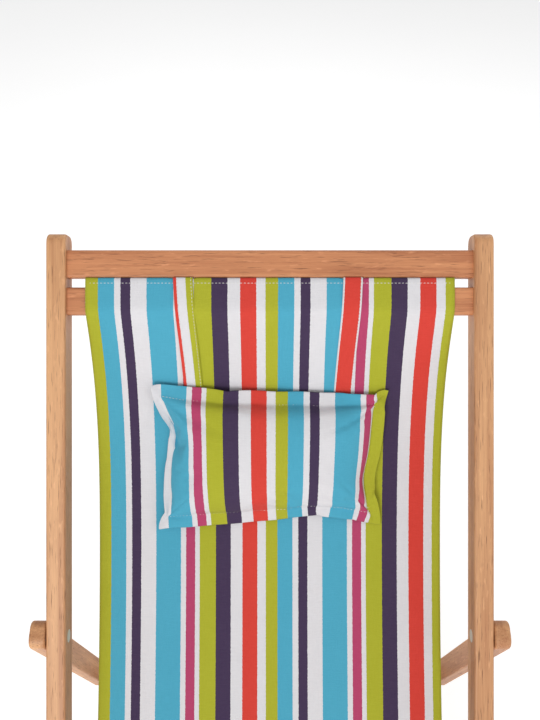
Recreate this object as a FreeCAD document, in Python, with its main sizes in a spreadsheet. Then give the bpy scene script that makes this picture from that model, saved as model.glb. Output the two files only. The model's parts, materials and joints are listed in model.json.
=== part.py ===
import FreeCAD, Part
import math
import os
import Sketcher
from FreeCAD import Placement, Rotation, Vector

# A folding sling deck chair. Three wooden frames turn on bolts: the tall back frame, the seat
# frame that crosses inside it, and the prop frame outside it, whose round bar drops into notches
# in the seat rails. A striped cloth sling hangs between the two frames, with a small head pillow
# on two cloth straps. Millimetres, +Z up, the sitter faces -Y, origin on the ground at the middle.
# Left is the -X side. Each left-hand timber is modelled and its right-hand twin is its mirror.

os.makedirs("parts", exist_ok=True)
doc = FreeCAD.newDocument("beach_chair")

# ---------------------------------------------------------------- driving dimensions
DIMENSIONS = {
    "back_angle": 46,           # lean of the back frame above the ground, degrees
    "frame_width": 550,         # outside of the back posts
    "back_length": 1230,
    "post_wide": 24,
    "post_deep": 38,
    "post_pivot": 390,          # foot end to the scissor bolt
    "prop_pivot": 340,          # scissor bolt to prop bolt, along the post
    "nose_round": 12,           # rounded ends of posts, seat rails and struts
    "foot_flat": 1.2,           # how much each foot's corner is cut back to stand flat
    "arris_round": 3,           # softened long edges
    "rail_high": 34,            # cross rails: height and thickness
    "rail_thick": 24,
    "rail_gap": 12,             # between the top rail and the sling rail
    "top_stub": 20,             # post standing above the top rail
    "foot_rail_up": 32,         # foot rail centre above the foot end
    "seat_wide": 20,            # seat rail section
    "seat_deep": 36,
    "seat_front": 323,          # scissor bolt to the front end
    "seat_rear": 690,           # scissor bolt to the rear foot
    "front_rail_at": 305,       # scissor bolt to the front sling rail
    "stretcher_at": 640,        # scissor bolt to the rear stretcher
    "notch_at": 400,            # scissor bolt to the notch in use
    "notch_pitch": 55,
    "notch_count": 4,
    "notch_ahead": 2,           # notches in front of the one in use
    "strut_wide": 20,
    "strut_deep": 34,
    "strut_tail": 20,           # strut beyond the centre of each joint
    "bar_radius": 12,
    "bar_seat": 16,             # bar centre above the seat rail's middle line
    "tenon_radius": 8,
    "tenon_long": 14,
    "fit_gap": 0.3,             # clearance round the bar in its notch
    "washer_thick": 1,
    "washer_radius": 11,
    "shank_radius": 4,
    "shank_play": 0.08,         # running clearance of a bolt in a turning timber
    "head_radius": 10,
    "head_high": 4.5,
    "nut_radius": 8,
    "nut_thick": 4,
    "dowel_radius": 4,
    "dowel_long": 36,
    "dowel_in_post": 13,
    "dowel_spread": 8,          # each dowel from its rail's middle
    "screw_radius": 2,
    "screw_long": 42,
    "screw_head": 4,
    "screw_cap_thick": 1.6,
    "sling_wide": 455,
    "cloth_thick": 1.5,
    "sleeve_play": 0.6,         # sleeve to rail
    "hem_stand": 6,             # stitched fold standing above the sleeve
    "strap_wide": 24,
    "strap_thick": 1.2,
    "strap_spread": 200,        # between the two straps
    "strap_shift": -3,          # middle of the pair from the chair's middle
    "strap_tail": 100,          # strap down the back of the sling
    "strap_sewn": 8,            # strap behind the pillow's top edge
    "cloth_gap": 0.5,           # between two layers of cloth that lie on each other
    "pillow_wide": 288,
    "pillow_high": 172,
    "pillow_thick": 48,
    "pillow_round": 20,
    "pillow_drop": 196,         # sling rail to pillow middle
    "pillow_shift": 3,
}
sheet = doc.addObject("Spreadsheet::Sheet", "Sizes")
for row, (alias, number) in enumerate(DIMENSIONS.items(), start=1):
    sheet.set(f"A{row}", alias)
    sheet.set(f"B{row}", str(number))
    sheet.setAlias(f"B{row}", alias)
doc.recompute()


def size(alias):
    """A driving dimension read back from the sheet."""
    return float(sheet.get(alias))


# ---------------------------------------------------------------- layout of the three frames
LEAN = math.radians(size("back_angle"))
NOSE = size("nose_round")


# The lower corner of each rounded foot is an arc that the ground cuts off flat.
ARC_HEIGHT = NOSE - size("foot_flat")
post_corner = size("post_deep") / 2 - NOSE
pivot_height = (ARC_HEIGHT + post_corner * math.cos(LEAN)
                + (size("post_pivot") - NOSE) * math.sin(LEAN))
seat_run = size("seat_rear") - NOSE
seat_corner = size("seat_deep") / 2 - NOSE
SEAT = (math.asin((pivot_height - ARC_HEIGHT) / math.hypot(seat_run, seat_corner))
        - math.atan2(seat_corner, seat_run))

# The chair's depth runs from the cloth round the front rail to the rear foot, and the origin is
# half way. The front of that cloth is a rounded corner of the sleeve.
sleeve_high = size("rail_high") / 2 + size("sleeve_play") + size("cloth_thick")
sleeve_thick = size("rail_thick") / 2 + size("sleeve_play") + size("cloth_thick")
sleeve_round = size("arris_round") + size("cloth_thick")
front_reach = ((size("front_rail_at") + sleeve_high - sleeve_round) * math.cos(SEAT)
               + (sleeve_thick - sleeve_round) * math.sin(SEAT) + sleeve_round)
rear_reach = seat_run * math.cos(SEAT) + NOSE - seat_corner * math.sin(SEAT)
rear_reach = max(rear_reach, seat_run * math.cos(SEAT) + seat_corner * math.sin(SEAT) + NOSE)
PIVOT = Vector(0, (front_reach - rear_reach) / 2, pivot_height)

# Each frame has its own plane: x across, then the depth off the plane, then the length up it.
back_frame = Placement(PIVOT, Rotation(Vector(1, 0, 0), math.degrees(LEAN) - 90))
seat_frame = Placement(PIVOT, Rotation(Vector(1, 0, 0), -90 - math.degrees(SEAT)))
prop_eye = Vector(0, 0, size("prop_pivot"))
eye_on_seat = seat_frame.inverse().multVec(back_frame.multVec(prop_eye))
bar_on_seat = Vector(0, -size("bar_seat"), size("notch_at"))
prop_line = bar_on_seat - eye_on_seat
PROP_REACH = math.hypot(prop_line.y, prop_line.z)
seat_to_prop = math.degrees(math.atan2(-prop_line.y, prop_line.z))
prop_frame = seat_frame * Placement(eye_on_seat, Rotation(Vector(1, 0, 0), seat_to_prop))
RAMP = math.radians(90) - abs(math.radians(seat_to_prop))

half_width = size("frame_width") / 2
post_middle = half_width - size("post_wide") / 2
post_inside = half_width - size("post_wide")
seat_outside = post_inside - size("washer_thick")
seat_middle = seat_outside - size("seat_wide") / 2
seat_inside = seat_outside - size("seat_wide")
strut_inside = half_width + size("washer_thick")
strut_middle = strut_inside + size("strut_wide") / 2
strut_outside = strut_inside + size("strut_wide")
sling_rail_at = (size("back_length") - size("post_pivot") - size("top_stub")
                 - size("rail_gap") - 1.5 * size("rail_high"))
top_rail_at = sling_rail_at + size("rail_high") + size("rail_gap")
foot_rail_at = size("foot_rail_up") - size("post_pivot")

subparts = []


def keep(thing):
    """Lists a finished sub-part for the checks and the files."""
    subparts.append(thing)
    return thing


# ---------------------------------------------------------------- sketch and feature helpers
def plane_of(body, role):
    return next(f for f in body.Origin.OriginFeatures if f.Role == role)


def sketch_in(body, name, role="YZ_Plane", lift=0.0):
    """A sketch on one of the body's own planes, lifted along the plane's normal."""
    sketch = body.newObject("Sketcher::SketchObject", name)
    sketch.AttachmentSupport = (plane_of(body, role), [""])
    sketch.MapMode = "FlatFace"
    sketch.AttachmentOffset = Placement(Vector(0, 0, lift), Rotation())
    return sketch


def closed_outline(sketch, corners):
    """Straight lines round the corners, each joined to the next."""
    count = len(corners)
    for i, corner in enumerate(corners):
        sketch.addGeometry(Part.LineSegment(Vector(*corner, 0), Vector(*corners[(i + 1) % count], 0)), False)
    for i in range(count):
        sketch.addConstraint(Sketcher.Constraint("Coincident", i, 2, (i + 1) % count, 1))


def bound(sketch, kind, where, value, formula):
    """Adds one sketch dimension and binds it to the sheet."""
    index = sketch.addConstraint(Sketcher.Constraint(kind, *where, value))
    sketch.setExpression(f"Constraints[{index}]", formula)


def rectangle(sketch, low, high, formulas):
    """An upright rectangle from low to high. The formulas bind left, bottom, width and height."""
    (left, bottom), (right, top) = low, high
    closed_outline(sketch, [(left, bottom), (right, bottom), (right, top), (left, top)])
    for line, kind in ((0, "Horizontal"), (1, "Vertical"), (2, "Horizontal"), (3, "Vertical")):
        sketch.addConstraint(Sketcher.Constraint(kind, line))
    bound(sketch, "DistanceX", (0, 1, 0, 2), right - left, formulas[2])
    bound(sketch, "DistanceY", (1, 1, 1, 2), top - bottom, formulas[3])
    bound(sketch, "DistanceX", (0, 1, -1, 1), -left, formulas[0])
    bound(sketch, "DistanceY", (0, 1, -1, 1), -bottom, formulas[1])


def pad_across(body, sketch, formula):
    """Thickens a side outline equally to both sides of its plane."""
    pad = body.newObject("PartDesign::Pad", sketch.Name + "_pad")
    pad.Profile = sketch
    pad.Midplane = True
    pad.setExpression("Length", formula)
    doc.recompute()
    return pad


def round_edges(body, name, chosen, formula):
    """Fillets the edges of the body's tip that the test picks."""
    base = body.Tip
    names = [f"Edge{i + 1}" for i, edge in enumerate(base.Shape.Edges) if chosen(edge)]
    fillet = body.newObject("PartDesign::Fillet", name)
    fillet.Base = (base, names)
    fillet.setExpression("Radius", formula)
    doc.recompute()
    return fillet


def across(edge):
    """True for an edge that runs along X."""
    ends = [v.Point for v in edge.Vertexes]
    return len(ends) == 2 and abs(ends[0].x - ends[1].x) > 1 and (ends[0] - ends[1]).Length < \
        abs(ends[0].x - ends[1].x) + 0.01


def on_side(half):
    """True for an edge that lies in either side face, x = half or -half."""
    def test(edge):
        box = edge.BoundBox
        return abs(abs(box.XMin) - half) < 0.01 and box.XLength < 0.01
    return test


def drill(body, name, spots, radius, formula, lift=0.0, deep=None):
    """Round holes along X at the (y, z) spots: right through, or deep from a plane lifted to x."""
    sketch = sketch_in(body, name, lift=lift)
    for i, (y, z) in enumerate(spots):
        sketch.addGeometry(Part.Circle(Vector(y, z, 0), Vector(0, 0, 1), radius), False)
        bound(sketch, "Radius", (i,), radius, formula)
    before = body.Tip.Shape.Volume
    pocket = body.newObject("PartDesign::Pocket", name + "_cut")
    pocket.Profile = sketch
    if deep is None:
        pocket.Type = 1
        pocket.Midplane = True
    else:
        pocket.setExpression("Length", deep)
        pocket.Reversed = lift < 0
    doc.recompute()
    area = math.pi * radius ** 2 * len(spots)
    if before - pocket.Shape.Volume < area:
        raise RuntimeError(f"{name} cuts nothing")
    return pocket


def ground_cut(body, frame):
    """Cuts the foot of a left-hand timber off level with the ground, z = 0."""
    sketch = sketch_in(body, body.Name + "_ground")
    into_frame = frame.inverse()
    reach = 2 * size("seat_rear")
    corners = [into_frame.multVec(Vector(0, y, z)) for y, z in
               ((-reach, 0), (reach, 0), (reach, -reach), (-reach, -reach))]
    closed_outline(sketch, [(corner.y, corner.z) for corner in corners])
    whole = body.Tip.Shape.Volume
    cut = body.newObject("PartDesign::Pocket", body.Name + "_flat")
    cut.Profile = sketch
    cut.Type = 1
    cut.Midplane = True
    doc.recompute()
    if not 1 < whole - cut.Shape.Volume < 1000:
        raise RuntimeError(f"{body.Name} has no foot flat")


def mirrored(source, label):
    """The right-hand twin of a left-hand piece."""
    twin = doc.addObject("Part::Mirroring", label)
    twin.Label = label
    twin.Source = source
    twin.Normal = (1, 0, 0)
    return keep(twin)


def group(label, members):
    """Separate solids that share one node."""
    bundle = doc.addObject("Part::Compound", label)
    bundle.Label = label
    bundle.Links = members
    return keep(bundle)


# ---------------------------------------------------------------- timbers
def side_timber(label, frame, middle, wide, deep, low, high):
    """A long timber: side outline, rounded nose at each end and softened edges.

    wide and deep are sheet names; low and high give the ends along the frame, as formulas.
    The body's own X is measured from its middle plane.
    """
    body = doc.addObject("PartDesign::Body", label)
    body.Label = label
    body.Placement = frame * Placement(Vector(-middle, 0, 0), Rotation())
    sketch = sketch_in(body, label + "_side")
    half_deep = size(deep) / 2
    low_value, low_formula = low
    high_value, high_formula = high
    rectangle(sketch, (-half_deep, low_value), (half_deep, high_value),
              (f"Sizes.{deep} / 2", low_formula, f"Sizes.{deep}", f"{low_formula} + {high_formula}"))
    pad_across(body, sketch, f"Sizes.{wide}")
    round_edges(body, label + "_noses", across, "Sizes.nose_round")
    round_edges(body, label + "_edges", on_side(size(wide) / 2), "Sizes.arris_round")
    return keep(body)


def cross_rail(label, frame, place, half_long, formula):
    """A rail across the chair: its section at the given place in the frame, dowelled at each end."""
    body = doc.addObject("PartDesign::Body", label)
    body.Label = label
    body.Placement = frame * Placement(Vector(0, 0, place), Rotation())
    sketch = sketch_in(body, label + "_section")
    half_thick = size("rail_thick") / 2
    half_high = size("rail_high") / 2
    rectangle(sketch, (-half_thick, -half_high), (half_thick, half_high),
              ("Sizes.rail_thick / 2", "Sizes.rail_high / 2", "Sizes.rail_thick", "Sizes.rail_high"))
    pad_across(body, sketch, formula)
    round_edges(body, label + "_edges", across, "Sizes.arris_round")
    spots = [(0, side * size("dowel_spread")) for side in (-1, 1)]
    for side in (-1, 1):
        drill(body, f"{label}_{'left' if side < 0 else 'right'}_bores", spots, size("dowel_radius"),
              "Sizes.dowel_radius", lift=side * half_long,
              deep="Sizes.dowel_long - Sizes.dowel_in_post")
    return keep(body)


def rail_bores(body, name, middle, inside, places):
    """Blind dowel bores in the inner face of a left-hand timber, two for each rail."""
    spots = [(0, place + side * size("dowel_spread")) for place in places for side in (-1, 1)]
    drill(body, name, spots, size("dowel_radius"), "Sizes.dowel_radius",
          lift=middle - inside, deep="Sizes.dowel_in_post")


def nut_recess(body, name, spot, middle, inside):
    """The counterbore that takes a barrel nut flush with the inner face."""
    drill(body, name, [spot], size("nut_radius"), "Sizes.nut_radius",
          lift=middle - inside, deep="Sizes.nut_thick")


# Back frame. Its rail places are measured from the scissor bolt, up the post.
back_rails = {"top_rail": top_rail_at, "upper_sling_rail": sling_rail_at, "foot_rail": foot_rail_at}
post = side_timber("back_post_left", back_frame, post_middle, "post_wide", "post_deep",
                   (-size("post_pivot"), "Sizes.post_pivot"),
                   (size("back_length") - size("post_pivot"), "Sizes.back_length - Sizes.post_pivot"))
drill(post, "post_pivot_bore", [(0, 0)], size("shank_radius") + size("shank_play"),
      "Sizes.shank_radius + Sizes.shank_play")
drill(post, "post_prop_bore", [(0, size("prop_pivot"))], size("shank_radius"), "Sizes.shank_radius")
nut_recess(post, "post_nut_recess", (0, size("prop_pivot")), post_middle, post_inside)
rail_bores(post, "post_dowel_bores", post_middle, post_inside, back_rails.values())
ground_cut(post, back_frame)
mirrored(post, "back_post_right")
for label, place in back_rails.items():
    cross_rail(label, back_frame, place, post_inside, "Sizes.frame_width - 2 * Sizes.post_wide")

# Seat frame. Its length runs from the scissor bolt towards the rear foot.
seat_rails = {"front_sling_rail": -size("front_rail_at"), "rear_stretcher": size("stretcher_at")}
seat_rail = side_timber("seat_rail_left", seat_frame, seat_middle, "seat_wide", "seat_deep",
                        (-size("seat_front"), "Sizes.seat_front"), (size("seat_rear"), "Sizes.seat_rear"))


def notch_outline(sketch):
    """A round seat under the bar, a nearly upright front wall and a rear ramp square to the prop."""
    radius = size("bar_radius") + size("fit_gap")
    draft = math.radians(8)
    above = -size("seat_deep") / 2 - 6
    middle = Vector(bar_on_seat.y, bar_on_seat.z, 0)
    front = middle + radius * Vector(math.sin(draft), -math.cos(draft), 0)
    rear = middle + radius * Vector(math.cos(RAMP), math.sin(RAMP), 0)
    bottom = middle + radius * Vector(math.cos(0.2), -math.sin(0.2), 0)
    front_top = Vector(above, front.y + (above - front.x) * math.tan(draft), 0)
    rear_top = Vector(above, rear.y - (above - rear.x) / math.tan(RAMP), 0)
    sketch.addGeometry(Part.Arc(front, bottom, rear), False)
    sketch.addGeometry(Part.LineSegment(rear, rear_top), False)
    sketch.addGeometry(Part.LineSegment(rear_top, front_top), False)
    sketch.addGeometry(Part.LineSegment(front_top, front), False)


notch_sketch = sketch_in(seat_rail, "notch_side")
notch_outline(notch_sketch)
uncut = seat_rail.Tip.Shape.Volume
notch = seat_rail.newObject("PartDesign::Pocket", "notch")
notch.Profile = notch_sketch
notch.Type = 1
notch.Midplane = True
doc.recompute()
notch_row = seat_rail.newObject("PartDesign::LinearPattern", "notch_row")
notch_row.Originals = [notch]
notch_row.Direction = (plane_of(seat_rail, "Z_Axis"), [""])
notch_row.Reversed = True
notch_row.setExpression("Length", "Sizes.notch_ahead * Sizes.notch_pitch")
notch_row.Occurrences = int(size("notch_ahead")) + 1
seat_rail.Tip = notch_row
doc.recompute()
rear_row = seat_rail.newObject("PartDesign::LinearPattern", "rear_notch_row")
rear_row.Originals = [notch]
rear_row.Direction = (plane_of(seat_rail, "Z_Axis"), [""])
rear_row.setExpression("Length", "(Sizes.notch_count - Sizes.notch_ahead - 1) * Sizes.notch_pitch")
rear_row.Occurrences = int(size("notch_count") - size("notch_ahead"))
seat_rail.Tip = rear_row
doc.recompute()
one_notch = uncut - notch.Shape.Volume
if abs(uncut - rear_row.Shape.Volume - size("notch_count") * one_notch) > 1:
    raise RuntimeError("the row of notches is not whole")
drill(seat_rail, "seat_pivot_bore", [(0, 0)], size("shank_radius"), "Sizes.shank_radius")
nut_recess(seat_rail, "seat_nut_recess", (0, 0), seat_middle, seat_inside)
rail_bores(seat_rail, "seat_dowel_bores", seat_middle, seat_inside, seat_rails.values())
ground_cut(seat_rail, seat_frame)
mirrored(seat_rail, "seat_rail_right")
for label, place in seat_rails.items():
    cross_rail(label, seat_frame, place, seat_inside,
               "Sizes.frame_width - 2 * (Sizes.post_wide + Sizes.washer_thick + Sizes.seat_wide)")

# Prop frame. Its length runs from the prop bolt down to the round bar.
strut_low = f"{PROP_REACH:.4f} + Sizes.strut_tail"
strut = side_timber("prop_strut_left", prop_frame, strut_middle, "strut_wide", "strut_deep",
                    (-size("strut_tail"), "Sizes.strut_tail"),
                    (PROP_REACH + size("strut_tail"), strut_low))
drill(strut, "strut_pivot_bore", [(0, 0)], size("shank_radius") + size("shank_play"),
      "Sizes.shank_radius + Sizes.shank_play")
drill(strut, "strut_tenon_bore", [(0, PROP_REACH)], size("tenon_radius"), "Sizes.tenon_radius",
      lift=strut_middle - strut_inside, deep="Sizes.tenon_long")
drill(strut, "strut_screw_bore", [(0, PROP_REACH)], size("screw_radius"), "Sizes.screw_radius")
mirrored(strut, "prop_strut_right")


def turned(body, name, outline):
    """A piece turned about X: half its outline, as (x, radius) corners from end to end."""
    sketch = sketch_in(body, name + "_half", role="XY_Plane")
    closed_outline(sketch, outline)
    spin = body.newObject("PartDesign::Revolution", name + "_turned")
    spin.Profile = sketch
    spin.ReferenceAxis = (plane_of(body, "X_Axis"), [""])
    spin.Angle = 360
    doc.recompute()
    return spin


def prop_bar():
    """The round bar, stepped down to a tenon at each end, with a pilot bore for its screw."""
    body = doc.addObject("PartDesign::Body", "prop_bar")
    body.Label = "prop_bar"
    body.Placement = prop_frame * Placement(Vector(0, 0, PROP_REACH), Rotation())
    tip = strut_inside + size("tenon_long")
    bar, tenon = size("bar_radius"), size("tenon_radius")
    turned(body, "prop_bar", [(-tip, 0), (-tip, tenon), (-strut_inside, tenon), (-strut_inside, bar),
                              (strut_inside, bar), (strut_inside, tenon), (tip, tenon), (tip, 0)])
    for side in (-1, 1):
        drill(body, f"bar_pilot_{'left' if side < 0 else 'right'}", [(0, 0)], size("screw_radius"),
              "Sizes.screw_radius", lift=side * tip,
              deep="Sizes.screw_long - Sizes.strut_wide + Sizes.tenon_long")
    return keep(body)


prop_bar()


# ---------------------------------------------------------------- fastenings
def disc(name, radius, thick, place, bore=0.0):
    """A washer or plain disc whose axis is X, starting at place and growing towards +X."""
    outer = doc.addObject("Part::Cylinder", name)
    outer.setExpression("Radius", radius)
    outer.setExpression("Height", thick)
    turn = Placement(Vector(), Rotation(Vector(0, 1, 0), 90))
    if not bore:
        outer.Placement = place * turn
        return outer
    inner = doc.addObject("Part::Cylinder", name + "_bore")
    inner.Radius = bore
    inner.setExpression("Height", thick)
    ring = doc.addObject("Part::Cut", name + "_ring")
    ring.Base = outer
    ring.Tool = inner
    ring.Placement = place * turn
    return ring


def twin(source):
    """The same fastening on the other side."""
    other = doc.addObject("Part::Mirroring", source.Name + "_twin")
    other.Source = source
    other.Normal = (1, 0, 0)
    return other


def bolt_set(label, frame, place, inside, outside):
    """Dome-headed bolt through two timbers, its barrel nut flush inside and a washer between."""
    spot = frame * Placement(Vector(0, 0, place), Rotation())
    head, high, shank = size("head_radius"), size("head_high"), size("shank_radius")
    body = doc.addObject("PartDesign::Body", label + "_left")
    body.Placement = spot
    tip = -inside - size("nut_thick") / 2
    profile = sketch_in(body, label + "_half", role="XY_Plane")
    dome_top, rim = Vector(-outside - high, 0, 0), Vector(-outside - 1, head, 0)
    shoulder = Vector(-outside - 0.85 * high, head * 0.45, 0)
    corners = [rim, Vector(-outside, head, 0), Vector(-outside, shank, 0), Vector(tip, shank, 0),
               Vector(tip, 0, 0), dome_top]
    profile.addGeometry(Part.Arc(dome_top, shoulder, rim), False)
    for start, end in zip(corners, corners[1:]):
        profile.addGeometry(Part.LineSegment(start, end), False)
    spin = body.newObject("PartDesign::Revolution", label + "_turned")
    spin.Profile = profile
    spin.ReferenceAxis = (plane_of(body, "X_Axis"), [""])
    spin.Angle = 360
    doc.recompute()
    group(label, [body, twin(body)])
    nut_spot = spot * Placement(Vector(-inside - size("nut_thick"), 0, 0), Rotation())
    nut = disc(label + "_nut", "Sizes.nut_radius", "Sizes.nut_thick", nut_spot)
    cup = doc.addObject("Part::Cylinder", label + "_nut_bore")
    cup.setExpression("Radius", "Sizes.shank_radius")
    cup.setExpression("Height", "Sizes.nut_thick / 2")
    cup.Placement = nut.Placement
    barrel = doc.addObject("Part::Cut", label + "_barrel_nut")
    barrel.Base = nut
    barrel.Tool = cup
    group(label.replace("bolts", "nuts"), [barrel, twin(barrel)])


bolt_set("pivot_bolts", back_frame, 0, seat_inside, half_width)
bolt_set("prop_bolts", back_frame, size("prop_pivot"), post_inside, strut_outside)
washer_sets = (("pivot_washers", 0, seat_outside),
               ("prop_washers", size("prop_pivot"), half_width))
for label, place, start in washer_sets:
    at = back_frame * Placement(Vector(-start - size("washer_thick"), 0, place), Rotation())
    ring = disc(label + "_left", "Sizes.washer_radius", "Sizes.washer_thick", at,
                bore=size("shank_radius") + size("shank_play"))
    group(label, [ring, twin(ring)])


def dowels(label, frame, inside, places):
    """Two dowels at each end of each rail, half in the rail and half in the side timber."""
    pins = []
    for place in places:
        for side in (-1, 1):
            start = Vector(-inside - size("dowel_in_post"), 0, place + side * size("dowel_spread"))
            spot = frame * Placement(start, Rotation())
            pin = disc(f"{label}_{len(pins)}", "Sizes.dowel_radius", "Sizes.dowel_long", spot)
            pins += [pin, twin(pin)]
    group(label, pins)


dowels("back_frame_dowels", back_frame, post_inside, back_rails.values())
dowels("seat_frame_dowels", seat_frame, seat_inside, seat_rails.values())

screw_spot = prop_frame * Placement(Vector(-strut_outside, 0, PROP_REACH), Rotation())
screw_shank = disc("bar_screw_shank", "Sizes.screw_radius", "Sizes.screw_long", screw_spot)
screw_cap = doc.addObject("Part::Cylinder", "bar_screw_cap")
screw_cap.setExpression("Radius", "Sizes.screw_head")
screw_cap.setExpression("Height", "Sizes.screw_cap_thick")
cap_spot = screw_spot * Placement(Vector(-size("screw_cap_thick"), 0, 0), Rotation())
screw_cap.Placement = cap_spot * Placement(Vector(), Rotation(Vector(0, 1, 0), 90))
bar_screw = doc.addObject("Part::Fuse", "bar_screw")
bar_screw.Base = screw_shank
bar_screw.Tool = screw_cap
group("prop_bar_screws", [bar_screw, twin(bar_screw)])

# ---------------------------------------------------------------- cloth
# The sling's line in the back frame's plane, as (down from the sling rail, behind the plane).
# It hangs back from the rail, runs along the back and turns up to the front rail at its end.
SLING_POLES = [(18, -11), (69, 27), (190, 75), (386, 77), (564, 60), (791, 42), (914, 14),
               (880, -215), (850, -271)]
SPLIT = 0.62                    # share of the line that belongs to the back frame


def sling_line():
    """The sling's line as a clamped cubic spline in the plane (down, behind)."""
    curve = Part.BSplineCurve()
    curve.buildFromPoles([Vector(down, behind, 0) for down, behind in SLING_POLES], False, 3)
    return curve


def along(curve, start, end, count, lift):
    """Points on the curve between two shares of it, lifted off it to the sitter's side."""
    points = []
    for i in range(count):
        share = start + (end - start) * i / (count - 1)
        tangent = curve.tangent(share)[0]
        points.append(curve.value(share) + lift * Vector(tangent.y, -tangent.x, 0))
    return points


def share_at(curve, down):
    """The share of the curve at which it is this far down, found by halving."""
    low, high = 0.0, SPLIT
    while high - low > 1e-6:
        middle = (low + high) / 2
        if curve.value(middle).x < down:
            low = middle
        else:
            high = middle
    return low


def in_back_frame(point, x=0.0):
    return Vector(x, point.y, sling_rail_at - point.x)


def strip(points, thick, wide, middle):
    """A flat band of cloth: the line of points, thickened both ways and carried across the chair."""
    def offset(amount):
        moved = []
        for i, point in enumerate(points):
            step = points[min(i + 1, len(points) - 1)] - points[max(i - 1, 0)]
            step.normalize()
            moved.append(in_back_frame(point + amount * Vector(step.y, -step.x, 0), middle - wide / 2))
        curve = Part.BSplineCurve()
        curve.interpolate(moved)
        return curve.toShape(), moved
    (near, near_points), (far, far_points) = offset(thick / 2), offset(-thick / 2)
    caps = [Part.makeLine(near_points[i], far_points[i]) for i in (0, -1)]
    face = Part.Face(Part.Wire(Part.__sortEdges__([near, far, *caps])))
    return face.extrude(Vector(wide, 0, 0))


def sleeve(wide):
    """The loop of cloth round a sling rail, centred on it, with the section across the frame."""
    inner_high = size("rail_high") / 2 + size("sleeve_play")
    inner_thick = size("rail_thick") / 2 + size("sleeve_play")
    shell = []
    for grown in (size("cloth_thick"), 0.0):
        block = Part.makeBox(wide, 2 * (inner_thick + grown), 2 * (inner_high + grown),
                             Vector(-wide / 2, -inner_thick - grown, -inner_high - grown))
        long_edges = [e for e in block.Edges if e.BoundBox.XLength > 1]
        shell.append(block.makeFillet(size("arris_round") + grown, long_edges))
    return shell[0].cut(shell[1])


def soft_part(label, shape):
    """A cloth piece, whose sizes come from the sheet through its own formula."""
    solid = shape.removeSplitter() if hasattr(shape, "removeSplitter") else shape
    piece = doc.addObject("Part::Feature", label)
    piece.Label = label
    piece.Shape = solid
    return keep(piece)


line = sling_line()
cloth = size("cloth_thick")
wide = size("sling_wide")
upper_sleeve = sleeve(wide)
stand = Part.makeBox(wide, 2 * cloth, size("hem_stand") + cloth)
stand.translate(Vector(-wide / 2, -cloth - 4, size("rail_high") / 2 + size("sleeve_play") + cloth / 2))
upper_sleeve = upper_sleeve.fuse(stand)
upper_sleeve.translate(Vector(0, 0, sling_rail_at))
back_cloth = strip(along(line, 0.0, SPLIT, 46, 0.0), cloth, wide, 0).fuse(upper_sleeve)
back_cloth.Placement = back_frame
soft_part("sling_back", back_cloth)

lower_sleeve = sleeve(wide)
lower_sleeve.Placement = seat_frame * Placement(Vector(0, 0, -size("front_rail_at")), Rotation())
seat_cloth = strip(along(line, SPLIT + 0.0008, 1.0, 34, 0.0), cloth, wide, 0)
seat_cloth.Placement = back_frame
soft_part("sling_seat", lower_sleeve.fuse(seat_cloth))


def strap_path():
    """Up the front of the sling from the pillow, over the sleeve's standing fold and down the back."""
    lift = (cloth + size("strap_thick")) / 2 + size("cloth_gap")
    side = size("rail_thick") / 2 + size("sleeve_play") + cloth + lift - cloth / 2
    top = size("rail_high") / 2 + size("sleeve_play") + cloth
    crest = top + size("hem_stand") + lift
    seam = share_at(line, size("pillow_drop") - size("pillow_high") / 2 + size("strap_sewn"))
    front = along(line, seam, 0.035, 6, lift)
    on_top = top + lift - cloth / 2
    outline = ((16, -side), (4, -side), (5 - top, -side), (-top, 1 - side), (-on_top, 6 - side),
               (-crest, -6.5), (-crest, -1.5), (-on_top, side - 7), (-top, side - 1),
               (5 - top, side), (0, side + 0.5), (14, side + 1))
    over = [Vector(down, behind, 0) for down, behind in outline]
    back = along(line, 0.05, 0.05 + size("strap_tail") / line.length(), 6, -lift)
    return front + over + back


for label, side in (("pillow_strap_left", -1), ("pillow_strap_right", 1)):
    middle = size("strap_shift") + side * size("strap_spread") / 2
    strap = strip(strap_path(), size("strap_thick"), size("strap_wide"), middle)
    strap.Placement = back_frame
    soft_part(label, strap)

pillow = doc.addObject("PartDesign::Body", "pillow")
pillow.Label = "pillow"
pillow_front = sketch_in(pillow, "pillow_front", role="XZ_Plane")
half_w, half_h = size("pillow_wide") / 2, size("pillow_high") / 2
rectangle(pillow_front, (-half_w, -half_h), (half_w, half_h),
          ("Sizes.pillow_wide / 2", "Sizes.pillow_high / 2", "Sizes.pillow_wide", "Sizes.pillow_high"))
pad_across(pillow, pillow_front, "Sizes.pillow_thick")
round_edges(pillow, "pillow_soft_edges", lambda edge: True, "Sizes.pillow_round")
top_spot = line.value(share_at(line, size("pillow_drop") - half_h))
low_spot = line.value(share_at(line, size("pillow_drop") + half_h))
tilt = math.degrees(math.atan2(low_spot.y - top_spot.y, low_spot.x - top_spot.x))
rest_spot = in_back_frame((top_spot + low_spot) * 0.5, size("pillow_shift"))
pillow_lift = size("pillow_thick") / 2 + cloth + size("strap_thick") + size("cloth_gap")
pillow.Placement = (back_frame * Placement(rest_spot, Rotation(Vector(1, 0, 0), tilt))
                    * Placement(Vector(0, -pillow_lift, 0), Rotation()))
keep(pillow)

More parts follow.
